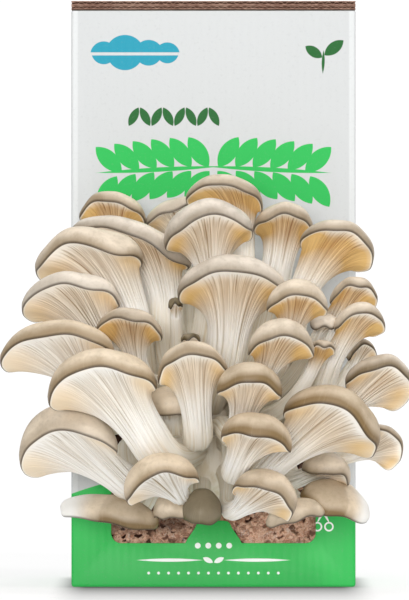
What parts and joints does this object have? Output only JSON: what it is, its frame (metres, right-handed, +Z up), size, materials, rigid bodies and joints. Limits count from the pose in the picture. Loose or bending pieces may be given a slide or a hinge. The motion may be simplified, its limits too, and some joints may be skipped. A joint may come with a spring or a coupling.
{
  "type": "oyster mushroom grow kit",
  "caption": "Upright cardboard grow kit with a fan-shaped cluster of oyster mushrooms growing out of a window in the lower half of its front.",
  "frame": {"origin": "middle of the carton's underside", "axes": "+Z up, the window and the cluster face -Y, and +X is to the right of the front"},
  "size_m": [0.1622, 0.1959, 0.235],
  "materials": {
    "printed_board": "satin",
    "pressed_sawdust": "matte",
    "mushroom_flesh": "satin"
  },
  "bodies": {
    "root": {"carton": "printed_board", "growing_block": "pressed_sawdust", "stem_base": "mushroom_flesh", "mushroom_top_left": "mushroom_flesh", "mushroom_wavy_left": "mushroom_flesh", "mushroom_top_pale": "mushroom_flesh", "mushroom_top_centre": "mushroom_flesh", "mushroom_upper_centre": "mushroom_flesh", "mushroom_upper_right": "mushroom_flesh", "mushroom_right_shoulder": "mushroom_flesh", "mushroom_left_shoulder": "mushroom_flesh", "mushroom_left_second": "mushroom_flesh", "mushroom_left_inner": "mushroom_flesh", "mushroom_left_third": "mushroom_flesh", "mushroom_left_broad": "mushroom_flesh", "mushroom_between": "mushroom_flesh", "mushroom_knob": "mushroom_flesh", "mushroom_pin": "mushroom_flesh", "mushroom_centre_broad": "mushroom_flesh", "mushroom_right_inner": "mushroom_flesh", "mushroom_right_amber": "mushroom_flesh", "mushroom_slender": "mushroom_flesh", "mushroom_right_second": "mushroom_flesh", "mushroom_right_lobe": "mushroom_flesh", "mushroom_right_third": "mushroom_flesh", "mushroom_right_small": "mushroom_flesh", "mushroom_right_wide": "mushroom_flesh", "mushroom_centre_fan": "mushroom_flesh", "mushroom_centre_right": "mushroom_flesh", "mushroom_lower_left_broad": "mushroom_flesh", "mushroom_lower_left_curled": "mushroom_flesh", "mushroom_bottom_left_drooping": "mushroom_flesh", "mushroom_bottom_left_small": "mushroom_flesh", "mushroom_bottom_centre": "mushroom_flesh", "mushroom_lower_centre_right": "mushroom_flesh", "mushroom_bottom_right_curled": "mushroom_flesh", "mushroom_bottom_right_small": "mushroom_flesh", "mushroom_bottom_right_thin": "mushroom_flesh", "mushroom_lower_right_broad": "mushroom_flesh", "mushroom_under_right": "mushroom_flesh", "mushroom_bottom_right_drooping": "mushroom_flesh", "mushroom_far_right_small": "mushroom_flesh"}
  },
  "joints": []
}
